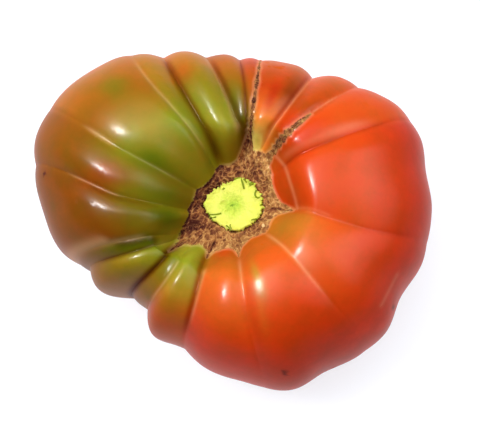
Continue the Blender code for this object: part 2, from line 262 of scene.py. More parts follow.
# Rows of the mesh from the stem to the foot, and columns crowded towards the creases.
CORK_ROWS, WALL_ROWS, SHOULDER_ROWS, UNDER_ROWS, FOOT_ROWS = 26, 44, 62, 34, 8
COLUMNS = 500
LEAST_COLUMNS = 12


def round_curve(points):
    """A smooth closed curve through (azimuth, value) points, as a function of the azimuth."""
    first = points[0][0]
    azimuths = np.array([point[0] for point in points], float)
    values = np.array([point[1] for point in points], float)
    azimuths = np.concatenate([azimuths[-2:] - 360, azimuths, azimuths[:3] + 360])
    values = np.concatenate([values[-2:], values, values[:3]])
    slopes = np.gradient(values, azimuths)

    def at(azimuth):
        turned = (np.asarray(azimuth, float) - first) % 360 + first
        start = np.searchsorted(azimuths, turned, side="right") - 1
        span = azimuths[start + 1] - azimuths[start]
        u = (turned - azimuths[start]) / span
        return (
            values[start] * (2 * u**3 - 3 * u**2 + 1)
            + slopes[start] * span * (u**3 - 2 * u**2 + u)
            + values[start + 1] * (3 * u**2 - 2 * u**3)
            + slopes[start + 1] * span * (u**3 - u**2)
        )

    return at


outline = round_curve(OUTLINE)
shoulder_reach = round_curve([(azimuth, reach) for azimuth, reach, _ in SHOULDERS])
shoulder_height = round_curve([(azimuth, height) for azimuth, _, height in SHOULDERS])
cork_edge = round_curve(CORK_EDGE)
stub_edge = round_curve(STUB_EDGE)


def smooth_step(low, high, value):
    """0 below low, 1 above high, and a smooth rise between them."""
    u = np.clip((np.asarray(value, float) - low) / (high - low), 0, 1)
    return u * u * (3 - 2 * u)


def foot_reach(azimuth):
    """How far the edge of the flat resting spot is from the stem axis."""
    angle = np.radians(azimuth)
    across = FOOT_CENTRE[0] - STEM_AXIS[0], FOOT_CENTRE[1] - STEM_AXIS[1]
    along = across[0] * np.cos(angle) + across[1] * np.sin(angle)
    aside = across[0] * np.sin(angle) - across[1] * np.cos(angle)
    return along + np.sqrt(FOOT_RADIUS**2 - aside**2)


def filled_section(azimuth, stage):
    """Reach and height of the fruit with its creases filled, at this stage of the way to the foot."""
    edge, crest, rim = cork_edge(azimuth), shoulder_reach(azimuth), outline(azimuth)
    equator = EQUATOR_HEIGHT + EQUATOR_SWING * np.cos(np.radians(azimuth - HIGH_SIDE))
    edge_height = SCAR_HEIGHT + CORK_RISE
    if stage <= SKIN:
        inner = stub_edge(azimuth)
        height = SCAR_HEIGHT + CORK_RISE * max(stage, 0) ** CORK_HOLLOW
        return inner + (edge - inner) * stage, np.full_like(edge, height)
    if stage <= CREST:
        u = stage - SKIN
        run, rise = crest - edge, shoulder_height(azimuth) - edge_height
        length = WALL_CURVE * np.hypot(run, rise)
        ease_in, ease_out = u**3 - 2 * u**2 + u, u**3 - u**2
        blend = 3 * u**2 - 2 * u**3
        reach = edge + run * blend + length * (ease_in * math.cos(WALL_SLOPE) + ease_out)
        return reach, edge_height + rise * blend + length * ease_in * math.sin(WALL_SLOPE)
    if stage <= EQUATOR:
        turn = (stage - CREST) * math.pi / 2
        reach = crest + (rim - crest) * math.sin(turn) ** SHOULDER_FULLNESS
        drop = shoulder_height(azimuth) - equator
        return reach, equator + drop * max(math.cos(turn), 0) ** SHOULDER_FULLNESS
    turn = (stage - EQUATOR) * math.pi / 2
    foot = foot_reach(azimuth)
    reach = foot + (rim - foot) * max(math.cos(turn), 0) ** UNDER_FULLNESS
    return reach, equator * (1 - math.sin(turn) ** UNDER_FULLNESS)


def outward(azimuths, stage):
    """The normal of the filled surface at this stage: its part away from the axis, and its part up."""
    step = 0.02
    reach_before, height_before = filled_section(azimuths, max(stage - step, STEM))
    reach_after, height_after = filled_section(azimuths, min(stage + step, FOOT))
    length = np.hypot(reach_after - reach_before, height_after - height_before)
    return (height_before - height_after) / length, (reach_after - reach_before) / length


def way_out(stage):
    """Share of the way from the cork to the rim, seen from above, at this stage."""
    around = np.arange(0, 360, 10)
    start, end = cork_edge(around).mean(), outline(around).mean()
    reach = filled_section(around, min(max(stage, SKIN), EQUATOR))[0].mean()
    return (reach - start) / (end - start)


def crease_azimuths(stage):
    """Azimuth of each crease at this stage. They bend and bow on their way out to the rim."""
    share = way_out(stage)
    bent, bowed = share**CREASE_BEND, 4 * share * (1 - share)
    return np.array([ring + (rim - ring) * bent + bow * bowed for ring, bow, rim, *_ in CREASES])


def crease_depths(stage):
    """Depth of each crease at this stage: it grows over the wall, and dies away towards the foot."""
    ring, shoulder, rim = (np.array([crease[n] for crease in CREASES]) for n in (3, 4, 5))
    over_wall = smooth_step(SKIN - 0.5, CREST, stage)
    over_rim = smooth_step(CREST, EQUATOR, stage)
    fading = smooth_step(CREASES_START, SKIN, stage) * (1 - smooth_step(EQUATOR, CREASES_END, stage))
    return (ring + (shoulder - ring) * over_wall + (rim - shoulder) * over_rim) * fading


def column_places():
    """For each column: the crease before it, and its place between that crease and the next."""
    at_rim = crease_azimuths(EQUATOR)
    widths = np.diff(np.append(at_rim, at_rim[0] + 360))
    spare = COLUMNS - LEAST_COLUMNS * len(CREASES)
    places = []
    for before, width in enumerate(widths):
        count = LEAST_COLUMNS + math.floor(spare * width / 360)
        for n in range(count):
            even = n / count
            eased = (1 - math.cos(math.pi * even)) / 2
            places.append((before, (even + eased) / 2))
    return places


# The cork: a ring of dry, papery scar tissue, with tongues in some creases and a crust in the two
# healed splits. A tongue has its crease, its length and half width in mm and its change of tone. A
# split has its crease, the share of the way out that it reaches, half width in mm and rise in metres.
TONGUES = (
    (0, 5.2, 1.7, 0.10), (2, 3.0, 1.5, -0.36), (4, 11.0, 1.60, -0.40), (6, 1.6, 1.0, 0.00),
    (13, 5.0, 0.7, -0.45), (15, 2.4, 1.0, 0.00), (16, 3.2, 1.2, -0.05),
)
TAPER = 1.6
SPLITS = ((2, 0.51, 0.95, 0.0009), (4, 0.99, 0.50, 0.0004))
CRUST_BREAKS = 31.0  # how often the crust swells and breaks on its way out
CORK_CELL = 0.0017
CORK_WARP = 1.1
CORK_RIDGE = 0.00042
CORK_SWELL = 0.00055
CORK_SWELL_LENGTH = 0.0026
CORK_REACH = 0.5  # mm past its edge at which the cork's relief has died away
CORK_SEED = 5  # without it the cells would lie differently each time
noise.seed_set(CORK_SEED)


def cork_ridge(place):
    """How near this place is to one of the raised edges of the cork's papery cells, from 0 to 1."""
    warp = noise.noise_vector(place / (CORK_CELL * 2.2)) * CORK_WARP
    warp += noise.noise_vector(place / (CORK_CELL * 0.6)) * 0.3
    stretched = Vector((place.x, place.y, place.z * 0.6)) / CORK_CELL + warp
    distances = noise.voronoi(stretched)[0]
    thickness = 0.12 + 0.09 * noise.noise(place / (CORK_CELL * 1.5))
    return math.exp(-(((distances[1] - distances[0]) / thickness) ** 2))


places = column_places()
column_before = np.array([place[0] for place in places])
column_share = np.array([place[1] for place in places])
stages = [n / CORK_ROWS for n in range(CORK_ROWS)]
stages += [SKIN + n / WALL_ROWS for n in range(WALL_ROWS)]
stages += [CREST + n / SHOULDER_ROWS for n in range(SHOULDER_ROWS)]
stages += [EQUATOR + n / UNDER_ROWS for n in range(UNDER_ROWS)]
stages.append(FOOT)


def surface_row(stage):
    """Points of the skin at this stage, one for each column, with what the paint needs to know there."""
    creases = crease_azimuths(stage)
    after = np.append(creases, creases[0] + 360)
    azimuths = after[column_before] + (after[column_before + 1] - after[column_before]) * column_share
    reach, height = filled_section(azimuths, stage)
    out, up = outward(azimuths, stage)
    sunk = np.zeros(len(azimuths))
    asides = []
    for crease, depth, row in zip(creases, crease_depths(stage), CREASES):
        aside = (azimuths - crease + 180) % 360 - 180
        distance = np.radians(aside) * reach
        asides.append(distance / MM)
        width = row[6] * (NARROWING + (1 - NARROWING) * reach / outline(azimuths))
        sunk += depth * np.clip(1 - np.abs(distance) / width, 0, 1) ** 2
    share = float(way_out(stage))
    edge = cork_edge(azimuths)
    if stage <= SKIN:
        off_cork = (stage - 1) * (edge - stub_edge(azimuths)) / MM
    else:
        off_cork = np.hypot(reach - edge, height - SCAR_HEIGHT - CORK_RISE) / MM
    off_ring = off_cork
    from_ring = np.maximum(off_ring, 0)
    for crease, length, half_width, _ in TONGUES:
        narrow = half_width * np.maximum(1 - from_ring / length, 0) ** TAPER
        off_cork = np.minimum(off_cork, np.where(narrow > 0, np.abs(asides[crease]) - narrow, off_cork))
    crust = np.zeros(len(azimuths))
    for crease, length, half_width, rise in SPLITS:
        fade = 1 - smooth_step(length * 0.6, length, share)
        thick = half_width * (0.35 + 0.65 * fade) * (1 + 0.3 * math.sin(stage * CRUST_BREAKS))
        beside = np.abs(asides[crease])
        if stage <= EQUATOR and share < length:
            off_cork = np.minimum(off_cork, beside - thick)
        broken = (2 + math.cos(stage * CRUST_BREAKS)) / 3
        crust += rise * broken * fade * smooth_step(0, 0.4, stage) * np.exp(-((beside / half_width) ** 2))
    reach, height = reach - (sunk - crust) * out, height - (sunk - crust) * up
    wavy = SKIN_WAVE * float(smooth_step(SKIN, CREST, stage) * (1 - smooth_step(EQUATOR, FOOT, stage)))
    angles = np.radians(azimuths)
    points = np.stack([reach * np.cos(angles), reach * np.sin(angles), height], axis=1)
    normals = np.stack([out * np.cos(angles), out * np.sin(angles), up], axis=1)
    ridges = np.zeros(len(azimuths))
    for n, point in enumerate(points):
        place = Vector(point)
        lift = wavy * noise.noise(place / SKIN_WAVE_LENGTH)
        if off_cork[n] < CORK_REACH:
            ridges[n] = cork_ridge(place)
            held = 1 - smooth_step(-0.6, CORK_REACH, off_cork[n])
            swell = noise.noise(place / CORK_SWELL_LENGTH)
            lift += held * float(smooth_step(0, 0.15, stage)) * (CORK_RIDGE * ridges[n] + CORK_SWELL * swell)
        points[n] += normals[n] * lift
    return points, azimuths, share, off_cork, off_ring, ridges, np.array(asides)


rows = [surface_row(stage) for stage in stages]
foot_offset = np.array([FOOT_CENTRE[0] - STEM_AXIS[0], FOOT_CENTRE[1] - STEM_AXIS[1], 0.0])
socket_floor = SCAR_HEIGHT - SOCKET_DEPTH
ring_points = []
for shrink in (SOCKET_MIDDLE_RING, SOCKET_TAPER):
    floor_ring = rows[0][0] * shrink
    floor_ring[:, 2] = socket_floor
    ring_points.append(floor_ring)
ring_points += [row[0] for row in rows]
for n in range(1, FOOT_ROWS):
    inward = 1 - n / FOOT_ROWS
    ring_points.append(foot_offset + (rows[-1][0] - foot_offset) * inward)
ring_count = len(ring_points)
column_count = len(places)

bpy.ops.object.select_all(action="DESELECT")
BALL = 0.03
bpy.ops.mesh.primitive_uv_sphere_add(segments=column_count, ring_count=ring_count + 1, radius=BALL)
fruit = bpy.context.object
fruit.name = "fruit_skin"
ball = np.empty(len(fruit.data.vertices) * 3)
fruit.data.vertices.foreach_get("co", ball)
ball = ball.reshape(-1, 3)
from_top = np.arccos(np.clip(ball[:, 2] / BALL, -1, 1)) / math.pi
ring_of = np.rint(from_top * (ring_count + 1)).astype(int) - 1
turned = np.arctan2(ball[:, 1], ball[:, 0]) / (2 * math.pi) % 1
column_of = np.rint(turned * column_count).astype(int) % column_count
at_top, at_bottom = ring_of < 0, ring_of >= ring_count
ring_of = np.clip(ring_of, 0, ring_count - 1)
shape = np.array(ring_points)[ring_of, column_of]
shape[at_top] = (0, 0, socket_floor)
shape[at_bottom] = foot_offset
shape[:, :2] += STEM_AXIS
low, high = np.array(cad_box[0]), np.array(cad_box[1])
middle = (low + high) / 2
shape[:, :2] = middle[:2] + (shape[:, :2] - middle[:2]) * DRAWN_IN
# The small scar of the flower, a dimple in the middle of the resting spot.
from_foot = np.hypot(shape[:, 0] - FOOT_CENTRE[0], shape[:, 1] - FOOT_CENTRE[1])
on_foot = shape[:, 2] < FOOT_HEIGHT
dimple = np.where(on_foot, 1 - smooth_step(*FLOWER_SCAR, from_foot), 0)
shape[:, 2] = np.clip(shape[:, 2] + FLOWER_SCAR_DEPTH * dimple, 0, high[2] - HEADROOM)
fruit.data.vertices.foreach_set("co", shape.ravel())
fruit.data.update()
bpy.ops.object.shade_smooth()

# How ripe each rib is, from the crease before it to the next: chlorophyll still left, then red
# colouring grown, each at the cork, on the shoulder, half way out, at the rim and underneath.
RIPENESS_AT = (0.05, 0.30, 0.60, 0.90, 1.3)
RIPENESS = (
    ((0.05, 0.00, 0.02, 0.06, 0.05), (0.82, 0.78, 0.78, 1.00, 1.00)),
    ((0.10, 0.02, 0.00, 0.00, 0.05), (0.68, 0.90, 0.72, 0.72, 0.95)),
    ((0.15, 0.10, 0.16, 0.05, 0.05), (0.30, 0.86, 0.72, 0.64, 0.95)),
    ((0.00, 0.00, 0.14, 0.10, 0.05), (0.00, 0.40, 0.82, 0.58, 0.95)),
    ((0.62, 0.50, 0.24, 0.10, 0.05), (0.42, 0.30, 0.58, 0.76, 0.95)),
    ((0.68, 0.88, 0.46, 0.20, 0.05), (0.32, 0.10, 0.32, 0.48, 0.95)),
    ((0.62, 0.44, 0.54, 0.16, 0.10), (0.22, 0.03, 0.10, 0.40, 0.90)),
    ((0.64, 0.58, 0.42, 0.18, 0.10), (0.08, 0.04, 0.22, 0.38, 0.90)),
    ((0.58, 0.42, 0.36, 0.22, 0.10), (0.14, 0.10, 0.40, 0.42, 0.90)),
    ((0.64, 0.62, 0.48, 0.40, 0.12), (0.22, 0.05, 0.42, 0.48, 0.85)),
    ((0.46, 0.66, 0.52, 0.46, 0.12), (0.20, 0.22, 0.50, 0.50, 0.85)),
    ((0.36, 0.98, 0.94, 0.56, 0.20), (0.10, 0.00, 0.08, 0.38, 0.85)),
    ((0.52, 0.62, 0.48, 0.48, 0.12), (0.02, 0.02, 0.08, 0.32, 0.85)),
    ((0.40, 0.64, 0.56, 0.50, 0.12), (0.04, 0.06, 0.16, 0.36, 0.90)),
    ((0.42, 0.46, 0.32, 0.20, 0.10), (0.00, 0.02, 0.18, 0.68, 0.95)),
    ((0.22, 0.03, 0.02, 0.08, 0.10), (0.42, 0.54, 0.68, 0.98, 1.00)),
    ((0.12, 0.00, 0.04, 0.12, 0.12), (0.58, 0.62, 0.85, 1.00, 1.00)),
    ((0.16, 0.05, 0.00, 0.06, 0.10), (0.44, 0.52, 0.78, 1.00, 1.00)),
)
RIB_BLEND = 1.6  # mm on each side of a crease over which one rib's colour runs into the next's

# Patches that ripen early or late: place in mm from above, length out from the stem and width across,
# and the chlorophyll and the red that they add.
PATCHES = (
    ((-32.4, 6.0), 6.0, 4.0, -0.22, 0.45),
    ((-31.8, 30.8), 5.0, 4.0, 0.18, -0.18),
    ((6.0, 16.3), 3.0, 1.5, 0.05, -0.30),
    ((8.7, 16.7), 2.5, 1.0, -0.08, 0.25),
    ((-2.1, -11.8), 3.0, 3.0, -0.12, 0.30),
    ((6.8, -22.5), 5.5, 1.4, 0.18, -0.42),
    ((7.6, -31.0), 6.0, 1.2, 0.02, -0.15),
    ((15.7, -6.3), 4.0, 3.0, 0.08, -0.12),
    ((10.5, 28.5), 4.0, 1.2, 0.00, 0.25),
    ((15.5, 31.3), 5.0, 2.0, 0.25, -0.10),
    ((-13.7, 36.4), 4.0, 3.0, -0.15, 0.25),
    ((0.0, 28.4), 5.0, 1.6, 0.10, -0.15),
    ((-19.0, 1.5), 6.0, 3.0, 0.12, -0.10),
    ((-15.0, 20.1), 6.0, 2.5, 0.15, -0.12),
    ((-20.9, 10.6), 6.0, 2.5, 0.28, -0.10),
    ((-17.8, -3.9), 4.0, 2.6, 0.45, -0.20),
)

# Lines along the creases: pale where the skin is stretched thin, with painted highlight on the creases' lit
# edges, and dark where it is drawn in, with painted shade in the creases. Each has the crease, the share of
# the way out where it starts and ends, mm to the side, half width, strength.
PALE_SEAMS = (
    (0, 0.15, 0.60, 0.0, 0.50, 0.12), (1, 0.10, 0.75, 1.8, 1.00, 0.20), (2, 0.48, 0.80, 0.0, 0.28, 0.50),
    (3, 0.05, 0.95, 0.0, 0.45, 0.40), (6, 0.15, 0.98, 0.6, 0.60, 0.42), (8, 0.10, 0.90, 0.0, 0.40, 0.30),
    (9, 0.05, 0.35, 0.0, 0.40, 0.20), (9, 0.35, 0.66, 0.0, 0.60, 0.60), (10, 0.30, 0.74, 0.0, 0.40, 0.45),
    (11, 0.30, 0.80, -0.2, 0.60, 0.35), (11, 0.62, 1.15, -1.2, 1.60, 0.50), (12, 0.05, 0.50, 0.0, 0.40, 0.15),
    (14, 0.30, 0.95, 0.0, 0.40, 0.40), (15, 0.15, 0.85, 0.8, 0.45, 0.40), (16, 0.05, 0.50, 0.0, 0.50, 0.40),
    (17, 0.00, 0.65, 0.0, 0.50, 0.45),
)
DARK_SEAMS = (
    (0, 0.25, 1.00, 0.0, 0.80, 0.10), (1, 0.05, 0.85, 0.0, 0.60, 0.18), (3, 0.15, 0.95, 0.9, 0.60, 0.25),
    (5, 0.10, 0.95, 0.0, 0.50, 0.35), (6, 0.00, 0.95, -0.5, 0.90, 0.45), (7, 0.00, 0.95, 0.0, 1.00, 0.50),
    (10, 0.15, 0.60, 0.8, 0.90, 0.20), (11, 0.15, 0.70, 1.0, 1.20, 0.30), (12, 0.20, 0.95, 0.0, 0.60, 0.35),
    (13, 0.00, 1.10, 0.0, 0.80, 0.80), (15, 0.00, 0.95, -0.3, 0.90, 0.40),
)
# Fine lines that cross the ribs, as points in mm from above, with half width and strength.
FREE_LINES = (
    (((10.3, 16.0), (11.9, 13.1), (14.0, 10.4), (15.3, 5.6), (16.9, 0.7), (17.4, -1.4)), 0.36, 0.48),
    (((17.9, -1.5), (25.6, -4.4)), 0.40, 0.20),
    (((44.7, -17.8), (39.9, -26.9)), 0.45, 0.25),
)
# Small dark blemishes: place and radius in mm.
SPOTS = (((-51.3, 8.9), 0.7), ((44.0, -26.3), 0.6), ((13.9, -44.6), 0.9))
SPOT_DARKNESS = 0.9


def distance_to(points, path):
    """How far each point is from a path, both in mm from above."""
    nearest = np.full(len(points), 1e9)
    for start, end in zip(path, path[1:]):
        start, along = np.array(start), np.array(end) - np.array(start)
        u = np.clip(((points - start) @ along) / (along @ along), 0, 1)
        nearest = np.minimum(nearest, np.linalg.norm(points - start - u[:, None] * along, axis=1))
    return nearest


def seam_strength(seams, share, asides):
    """How strongly the lines that follow creases show at each point of a row."""
    strength = np.zeros(asides.shape[1])
    for crease, start, end, aside, half_width, most in seams:
        shown = smooth_step(start - 0.02, start + 0.08, share)
        shown = shown * (1 - smooth_step(end - 0.15, end + 0.02, share))
        across = np.exp(-(((asides[crease] - aside) / half_width) ** 2))
        strength = np.maximum(strength, most * shown * across)
    return strength


def rib_value(kind, share, widths):
    """Chlorophyll (0) or red (1) of a row, blended from rib to rib across the creases."""
    levels = np.array([np.interp(share, RIPENESS_AT, rib[kind]) for rib in RIPENESS])
    span = widths[column_before]
    before = 0.5 * (1 - smooth_step(0, RIB_BLEND, column_share * span))
    after = 0.5 * (1 - smooth_step(0, RIB_BLEND, (1 - column_share) * span))
    own = levels[column_before]
    last, following = levels[column_before - 1], levels[(column_before + 1) % len(levels)]
    return own * (1 - before - after) + last * before + following * after


# How straw-coloured the cork is by azimuth, from 0, purple-brown, to 1.
CORK_TONES = (
    (0, 0.64), (30, 0.68), (60, 0.56), (90, 0.36), (115, 0.26), (150, 0.18), (185, 0.10), (210, 0.22),
    (235, 0.52), (262, 0.66), (290, 0.60), (330, 0.58),
)
OUTER_TONE = 0.35  # how much more straw-coloured it is at its edge than by the stem
SHADED_CORK_EDGE = (95.0, 222.0)  # azimuths between which the cork's outer edge has painted shade, where the lobes rise steeply over it
CORK_EDGE_SHADE = 0.65
# Dark cracks in it: the crease they run to, half width in mm, and the stages where they start and end.
CORK_CRACKS = ((0, 0.28, 0.45, 1.4), (11, 0.25, 0.70, 1.0), (14, 0.28, 0.55, 1.1), (15, 0.28, 0.60, 1.2))
CRACK_DARKNESS = 0.55
SPECK = (8.17, -4.89), 0.45  # a small pale speck: its place and radius in mm
SPECK_BRIGHTNESS = 4.0
SKIN_EDGE = 0.45  # how pale the skin is where it meets the cork
UNDER_STRETCH = 0.6  # shares of the way out that the paint still goes for each stage under the fruit
cork_tone = round_curve(CORK_TONES)
paint = {name: [] for name in ("green", "red", "off_cork", "pale", "dark", "tone", "ridge")}
for stage, (points, azimuths, share, off_cork, off_ring, ridges, asides) in zip(stages, rows):
    reached = share if stage <= EQUATOR else 1 + (stage - EQUATOR) * UNDER_STRETCH
    creases = crease_azimuths(stage)
    gaps = np.radians(np.diff(np.append(creases, creases[0] + 360)))
    widths = gaps * np.hypot(points[:, 0], points[:, 1]).mean() / MM
    plan = points[:, :2] / MM + np.array(STEM_AXIS) / MM
    green, red = (rib_value(kind, reached, widths) for kind in (0, 1))
    pale, dark = (seam_strength(seams, reached, asides) for seams in (PALE_SEAMS, DARK_SEAMS))
    if stage <= EQUATOR:
        outwards = plan / np.linalg.norm(plan, axis=1)[:, None]
        for place, length, width, more_green, more_red in PATCHES:
            offset = plan - np.array(place)
            along = (offset * outwards).sum(1)
            across = offset[:, 0] * outwards[:, 1] - offset[:, 1] * outwards[:, 0]
            held = np.exp(-((along / length) ** 2) - (across / width) ** 2)
            green, red = green + more_green * held, red + more_red * held
        for path, half_width, most in FREE_LINES:
            pale = np.maximum(pale, most * np.exp(-((distance_to(plan, path) / half_width) ** 2)))
        for place, radius in SPOTS:
            from_spot = np.linalg.norm(plan - np.array(place), axis=1)
            in_spot = 1 - smooth_step(radius * 0.5, radius, from_spot)
            dark = np.maximum(dark, SPOT_DARKNESS * in_spot)
    # The skin is thin and pale where it meets the cork, but for the side where the cork's edge has painted
    # shade.
    round_to = azimuths % 360
    edge_shaded = smooth_step(SHADED_CORK_EDGE[0], SHADED_CORK_EDGE[0] + 15, round_to)
    edge_shaded = edge_shaded * (1 - smooth_step(SHADED_CORK_EDGE[1] - 12, SHADED_CORK_EDGE[1], round_to))
    pale = np.maximum(pale, SKIN_EDGE * (1 - edge_shaded) * (1 - smooth_step(0.1, 0.9, np.abs(off_cork))))
    tone = cork_tone(azimuths) + OUTER_TONE * (smooth_step(0.5, 1.0, stage) - 0.5)
    # Painted shade along the cork's outer edge, where the steep lobes rise over it.
    tone -= CORK_EDGE_SHADE * edge_shaded * np.exp(-(((off_cork + 0.25) / 0.35) ** 2))
    for crease, _, half_width, change in TONGUES:
        beyond = smooth_step(-0.6, 0.4, off_ring)
        tone += change * beyond * np.exp(-((asides[crease] / (half_width * 1.5)) ** 2))
    for crease, half_width, start, end in CORK_CRACKS:
        if start <= stage <= end:
            tone -= CRACK_DARKNESS * np.exp(-((asides[crease] / half_width) ** 2))
    from_speck = np.linalg.norm(plan - np.array(SPECK[0]), axis=1)
    on_speck = (1 - smooth_step(SPECK[1] * 0.5, SPECK[1], from_speck)) * (stage < CREST)
    tone += SPECK_BRIGHTNESS * on_speck
    for name, values in zip(paint, (green, red, off_cork, pale, dark, tone, ridges)):
        paint[name].append(values)
for name, rings in paint.items():
    rings = [rings[0], rings[0]] + rings + [rings[-1]] * (FOOT_ROWS - 1)
    values = np.array(rings)[ring_of, column_of]
    if name == "off_cork":
        # The flower's scar is a button of cork too.
        values = np.where(on_foot, from_foot / MM - FLOWER_SCAR_CORK, values)
    layer = fruit.data.attributes.new(name, "FLOAT", "POINT")
    layer.data.foreach_set("value", values.astype(np.float32))

# Ripening tomato skin: a clear waxy cuticle over flesh that holds chlorophyll and red carotenoid.
# Where both are present they mix to olive and brown. The wax gives small sharp glints, and the smooth
# skin under it a broad, weak sheen, so its IOR is low. There is no wax deep in the dark creases.
FLESH = "#F4E072"
CHLOROPHYLL = (2.45, 1.90, 5.20)  # what it absorbs of red, green and blue light
CAROTENOID = (0.36, 3.10, 4.50)
STRETCHED_AND_SHEEN = "#F4C2A0"  # of skin drawn thin in a seam, with the painted sheen on its lit edge
# Patterns, in repeats a metre: clouds of colour 6 mm across, flecks of 1 mm, and pores, which are much
# finer and are drawn at 0.4 mm to show.
CLOUDS, FLECKS, PORES = 170.0, 900.0, 2600.0
CLOUD_SHARE, FLECK_SHARE = 0.30, 0.10
GREEN_MOTTLE, RED_MOTTLE = 0.8, 0.5
THINNING_AND_SHEEN, DEEPENING_AND_SHADE = 0.45, 0.45  # what a pale seam takes of the colouring with its painted highlight, and what a dark one adds with its painted shade
BARENESS_AND_SHEEN = 0.35  # how much of the stretched skin's colour and painted sheen a pale seam shows
SKIN_ROUGHNESS = 0.38
WAX = 0.15
PORE_DEPTH = 0.03
skin = bpy.data.materials.new("ripening_tomato_skin")
skin.use_nodes = True
tree = skin.node_tree
shader = tree.nodes["Principled BSDF"]
where = add_node(tree, "ShaderNodeTexCoord", {}, {}).outputs["Object"]


def add_number(operation, first, second, third=None, clamp=False):
    """A sum on numbers or outputs, as one Math node of the skin."""
    settings = {"operation": operation, "use_clamp": clamp}
    links = {}
    for place, value in enumerate((first, second, third)):
        if isinstance(value, (int, float)):
            settings[place] = value
        elif value is not None:
            links[place] = value
    return add_node(tree, "ShaderNodeMath", settings, links).outputs[0]


def read(name):
    """The value that the mesh holds under this name."""
    return add_node(tree, "ShaderNodeAttribute", {"attribute_name": name}, {}).outputs["Fac"]


clouds, flecks, pores = (
    add_node(tree, "ShaderNodeTexNoise", {"Scale": scale, "Detail": detail}, {"Vector": where}).outputs["Fac"]
    for scale, detail in ((CLOUDS, 3.0), (FLECKS, 2.0), (PORES, 2.0))
)
mottle = add_number("MULTIPLY", add_number("SUBTRACT", flecks, 0.5), FLECK_SHARE)
mottle = add_number("MULTIPLY_ADD", add_number("SUBTRACT", clouds, 0.5), CLOUD_SHARE, mottle)
# The pale seams carry painted highlight and the dark seams painted shade, on top of the skin's own pale and
# dark lines and blemishes.
pale, dark = read("pale"), read("dark")
thinned_and_lit = add_number("MULTIPLY_ADD", pale, -THINNING_AND_SHEEN, 1.0)
deepened_and_shaded = add_number("MULTIPLY", dark, DEEPENING_AND_SHADE)
green_held = add_number("ADD", read("green"), add_number("MULTIPLY", mottle, GREEN_MOTTLE))
red_held = add_number("SUBTRACT", read("red"), add_number("MULTIPLY", mottle, RED_MOTTLE))
steps = [n / 6 for n in range(7)]
let_through = []
for absorbed, held in ((CHLOROPHYLL, green_held), (CAROTENOID, red_held)):
    held = add_number("MULTIPLY_ADD", held, thinned_and_lit, deepened_and_shaded, clamp=True)
    stops = [(step, [math.exp(-step * part) for part in absorbed] + [1]) for step in steps]
    let_through.append(add_node(tree, "ShaderNodeValToRGB", {"stops": stops}, {0: held}).outputs[0])
multiply = {"data_type": "RGBA", "blend_type": "MULTIPLY", 0: 1.0}
both = add_node(tree, "ShaderNodeMix", multiply, {6: let_through[0], 7: let_through[1]}).outputs[2]
skin_colour = add_node(tree, "ShaderNodeMix", {**multiply, 7: linear(FLESH)}, {6: both}).outputs[2]
bare_and_sheen = add_number("MULTIPLY", pale, BARENESS_AND_SHEEN)
skin_colour = add_node(
    tree, "ShaderNodeMix", {"data_type": "RGBA", 7: linear(STRETCHED_AND_SHEEN)}, {0: bare_and_sheen, 6: skin_colour}
).outputs[2]

# Scar cork: dry, papery and wrinkled, dull, purple-brown in its gaps and tan to straw on its edges.
# Its wrinkles are 1.2 mm across and its blotches 3 mm, and its edge is as ragged as the wrinkles.
WRINKLES, BLOTCHES = 800.0, 330.0
CORK_STOPS = (
    (0.00, "#3E1A12"), (0.18, "#6C3A26"), (0.38, "#9A6438"),
    (0.58, "#B8844C"), (0.80, "#D6A866"), (1.00, "#EECE90"),
)
# How straw-coloured it is: the least, and what its tone, edges, wrinkles and blotches add.
LEAST_DRY, DRY_BY_TONE, DRY_BY_RIDGE, DRY_BY_WRINKLE, DRY_BY_BLOTCH = 0.06, 0.50, 0.36, 0.9, 0.6
RAGGEDNESS = 0.9
EDGE_BLUR = 0.12
CORK_ROUGHNESS = 0.83
RELIEF_STRENGTH, RELIEF_DEPTH = 0.7, 0.0006
wrinkled = {"Scale": WRINKLES, "Detail": 5.0, "Roughness": 0.62, "Distortion": 1.6}
wrinkles = add_node(tree, "ShaderNodeTexNoise", wrinkled, {"Vector": where}).outputs["Fac"]
blotched = {"Scale": BLOTCHES, "Detail": 2.0, "Distortion": 0.8}
blotches = add_node(tree, "ShaderNodeTexNoise", blotched, {"Vector": where}).outputs["Fac"]
dryness = add_number("MULTIPLY_ADD", read("tone"), DRY_BY_TONE, LEAST_DRY)
dryness = add_number("MULTIPLY_ADD", read("ridge"), DRY_BY_RIDGE, dryness)
dryness = add_number("MULTIPLY_ADD", add_number("SUBTRACT", wrinkles, 0.5), DRY_BY_WRINKLE, dryness)
dryness = add_number("MULTIPLY_ADD", add_number("SUBTRACT", blotches, 0.5), DRY_BY_BLOTCH, dryness)
cork_colour = add_node(
    tree, "ShaderNodeValToRGB", {"stops": [(place, linear(code)) for place, code in CORK_STOPS]}, {0: dryness}
).outputs[0]
ragged = add_number("MULTIPLY", add_number("SUBTRACT", wrinkles, 0.45), RAGGEDNESS)
off = add_number("ADD", read("off_cork"), ragged)
is_cork = add_node(
    tree, "ShaderNodeMapRange", {"From Min": EDGE_BLUR, "From Max": -EDGE_BLUR}, {"Value": off}
).outputs[0]
colour = add_node(
    tree, "ShaderNodeMix", {"data_type": "RGBA"}, {0: is_cork, 6: skin_colour, 7: cork_colour}
).outputs[2]
roughness = add_number("MULTIPLY_ADD", is_cork, CORK_ROUGHNESS - SKIN_ROUGHNESS, SKIN_ROUGHNESS)
coat = add_number("MULTIPLY_ADD", is_cork, -WAX, WAX, clamp=True)
coat = add_number("MULTIPLY", coat, add_number("SUBTRACT", 1.0, dark, clamp=True))
grain = add_number("MULTIPLY", wrinkles, is_cork)
relief = add_number("MULTIPLY_ADD", pores, PORE_DEPTH, grain)
bump = add_node(
    tree, "ShaderNodeBump", {"Strength": RELIEF_STRENGTH, "Distance": RELIEF_DEPTH}, {"Height": relief}
).outputs[0]
